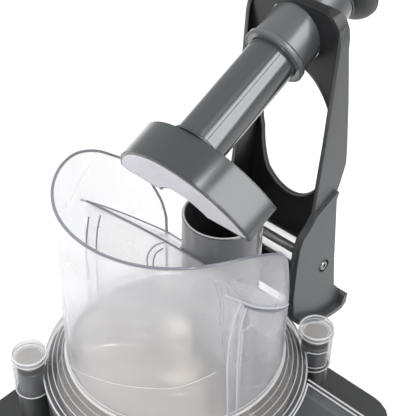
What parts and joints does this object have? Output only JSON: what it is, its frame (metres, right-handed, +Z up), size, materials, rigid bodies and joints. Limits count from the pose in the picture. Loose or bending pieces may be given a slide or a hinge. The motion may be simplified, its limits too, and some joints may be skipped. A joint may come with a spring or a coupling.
{
  "type": "lever press juicing machine",
  "caption": "Table-top lever press over a tall clear feed hopper with a side feed tube, on a lidded bowl with a spinning disc and a motor base.",
  "frame": {"origin": "centre of the bounding box's footprint, on the worktop under the feet", "axes": "+Z up, +X towards the outlet chute, +Y towards the lever's hinge"},
  "size_m": [0.304, 0.3587, 0.5425],
  "materials": {
    "casing": "fine textured moulding",
    "arm_coating": "dark grey satin coating",
    "gloss_grey": "glossy dark grey moulding",
    "clear_plastic": "clear moulding, lightly frosted low down",
    "smoky_plastic": "smoky grey clear moulding",
    "disc_steel": "turned steel",
    "magnet_face": "plated magnet",
    "rubber": "matte rubber",
    "black_plastic": "black moulding",
    "cast_aluminium": "cast end bell",
    "winding": "varnished copper winding, brass stands in for copper",
    "circuit_board": "solder mask",
    "start_green": "button cap",
    "stop_red": "button cap"
  },
  "bodies": {
    "base": {"base_housing": "casing", "base_plate": "black_plastic", "foot_1": "rubber", "foot_2": "rubber", "foot_3": "rubber", "foot_4": "rubber", "base_screw_1": "disc_steel", "base_screw_2": "disc_steel", "base_screw_3": "disc_steel", "base_screw_4": "disc_steel", "control_panel": "black_plastic", "control_board": "circuit_board", "cable_gland": "black_plastic", "motor_stator": "winding", "motor_lower_bell": "cast_aluminium", "motor_upper_bell": "cast_aluminium", "lower_bearing": "disc_steel", "upper_bearing": "disc_steel", "shaft_seal": "rubber", "bowl": "casing", "latch_post_left": "casing", "latch_post_right": "casing"},
    "rotor": {"drive_shaft": "disc_steel", "motor_rotor": "disc_steel", "cooling_fan": "black_plastic", "ejector_disc": "black_plastic", "grating_disc": "disc_steel", "disc_hub": "disc_steel"},
    "start_button": {"start_button": "start_green"},
    "stop_button": {"stop_button": "stop_red"},
    "lid": {"lid": "clear_plastic", "lid_seal": "rubber", "hopper": "clear_plastic", "feed_tube": "smoky_plastic", "chute_cover": "clear_plastic", "magnet_left": "magnet_face", "magnet_right": "magnet_face", "magnet_cap_left": "clear_plastic", "magnet_cap_right": "clear_plastic"},
    "lever": {"lever_arm": "arm_coating", "guide_sleeve": "arm_coating", "press_stem": "gloss_grey", "press_plate": "gloss_grey", "hinge_axle": "disc_steel", "hinge_bush_left": "black_plastic", "hinge_bush_right": "black_plastic", "hinge_screw_left": "disc_steel", "hinge_screw_right": "disc_steel"},
    "pusher": {"pusher_rod": "gloss_grey", "pusher_knob": "casing"}
  },
  "joints": [
    {"name": "rotor_spin", "type": "hinge", "parent": "base", "child": "rotor", "pos_m": [-0.013, -0.0214, 0.188], "axis": [0, 0, 1], "continuous": true},
    {"name": "start_press", "type": "slide", "parent": "base", "child": "start_button", "axis": [0, 1, 0], "range_m": [0, 0.003], "stiffness_N_per_m": 500},
    {"name": "stop_press", "type": "slide", "parent": "base", "child": "stop_button", "axis": [0, 1, 0], "range_m": [0, 0.003], "stiffness_N_per_m": 500},
    {"name": "lid_lift", "type": "slide", "parent": "base", "child": "lid", "axis": [0, 0, 1], "range_m": [0, 0.07]},
    {"name": "lever_swing", "type": "hinge", "parent": "lid", "child": "lever", "pos_m": [-0.013, 0.1124, 0.2764], "axis": [1, 0, 0], "range_deg": [0, 55]},
    {"name": "pusher_slide", "type": "slide", "parent": "lever", "child": "pusher", "axis": [0, 0.9041, 0.4274], "range_m": [0, 0.12]}
  ]
}
